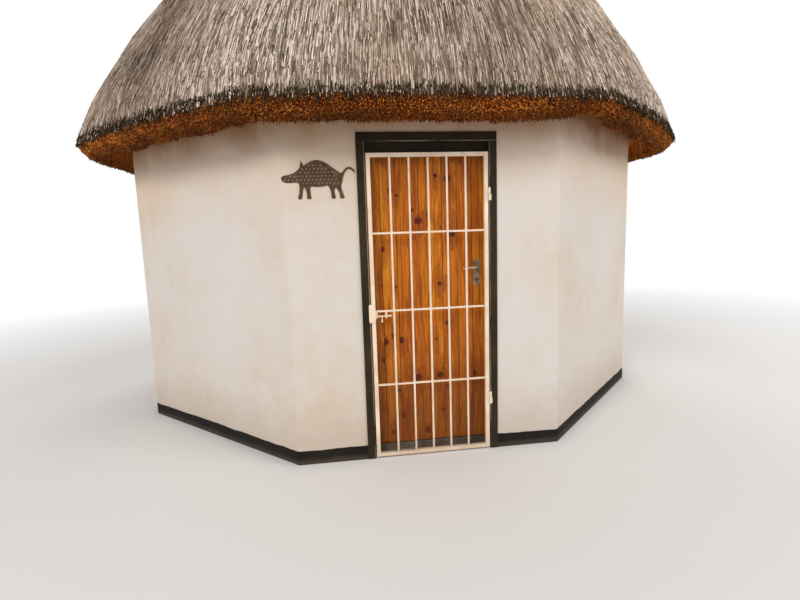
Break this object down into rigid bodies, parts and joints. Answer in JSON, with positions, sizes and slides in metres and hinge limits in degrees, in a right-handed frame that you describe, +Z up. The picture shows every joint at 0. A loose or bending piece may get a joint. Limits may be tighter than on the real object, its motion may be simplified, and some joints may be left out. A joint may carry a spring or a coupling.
{
  "type": "rondavel hut",
  "caption": "Eight-sided thatched rondavel hut with plastered walls, a dark plinth, a boarded pine door, a barred steel gate and an animal cut-out beside it.",
  "frame": {"origin": "on the ground at the centre of the octagonal plan", "axes": "+Z up, -Y out of the door face, +X to the right as seen from outside the door"},
  "size_m": [5.0802, 5.0802, 5.5977],
  "materials": {
    "wall_plaster": "matt",
    "plinth_paint": "satin paint",
    "floor_concrete": "worn paint",
    "roof_poles": "peeled poles",
    "thatch": "weathered grass",
    "mortar": "rough",
    "frame_timber": "painted",
    "door_pine": "varnished",
    "black_iron": "painted",
    "lock_steel": "worn",
    "gate_paint": "gloss",
    "plaque_steel": "matt"
  },
  "bodies": {
    "hut": {"floor_slab": "floor_concrete", "threshold": "floor_concrete", "plinth_band": "plinth_paint", "front_wall_left": "wall_plaster", "front_wall_right": "wall_plaster", "wall_over_door": "wall_plaster", "wall_1": "wall_plaster", "wall_2": "wall_plaster", "wall_3": "wall_plaster", "wall_4": "wall_plaster", "wall_5": "wall_plaster", "wall_6": "wall_plaster", "wall_7": "wall_plaster", "wall_plate": "roof_poles", "beam_filling": "wall_plaster", "hip_rafters": "roof_poles", "face_rafters": "roof_poles", "crown_block": "roof_poles", "laths": "roof_poles", "thatch": "thatch", "thatch_eave": "thatch", "mortar_cap": "mortar", "frame_jamb_left": "frame_timber", "frame_jamb_right": "frame_timber", "frame_head": "frame_timber", "frame_stop_board": "frame_timber", "door_hinge_plates": "black_iron", "gate_hinge_pins": "gate_paint", "animal_plaque": "plaque_steel"},
    "door": {"door_boards": "door_pine", "door_ledges": "door_pine", "door_straps": "black_iron", "lock_plate_outer": "lock_steel", "lock_plate_inner": "lock_steel"},
    "lever": {"lever_handle": "lock_steel"},
    "gate": {"gate_frame": "gate_paint", "gate_bars": "gate_paint", "gate_hinge_tops": "gate_paint", "bolt_guide": "gate_paint", "gate_cover_plate": "gate_paint"},
    "bolt": {"gate_bolt": "gate_paint"}
  },
  "joints": [
    {"name": "door_hinge", "type": "hinge", "parent": "hut", "child": "door", "pos_m": [-0.3925, -1.999, 1.1], "axis": [0, 0, 1], "range_deg": [0, 100]},
    {"name": "lever_turn", "type": "hinge", "parent": "door", "child": "lever", "pos_m": [0.339, -2.051, 1.23], "axis": [0, -1, 0], "range_deg": [0, 45], "stiffness_Nm_per_rad": 1.5, "springref_deg": -28.65},
    {"name": "gate_hinge", "type": "hinge", "parent": "hut", "child": "gate", "pos_m": [0.402, -2.146, 1], "axis": [0, 0, 1], "range_deg": [0, 165]},
    {"name": "bolt_slide", "type": "slide", "parent": "gate", "child": "bolt", "axis": [-1, 0, 0], "range_m": [0, 0.022]}
  ]
}
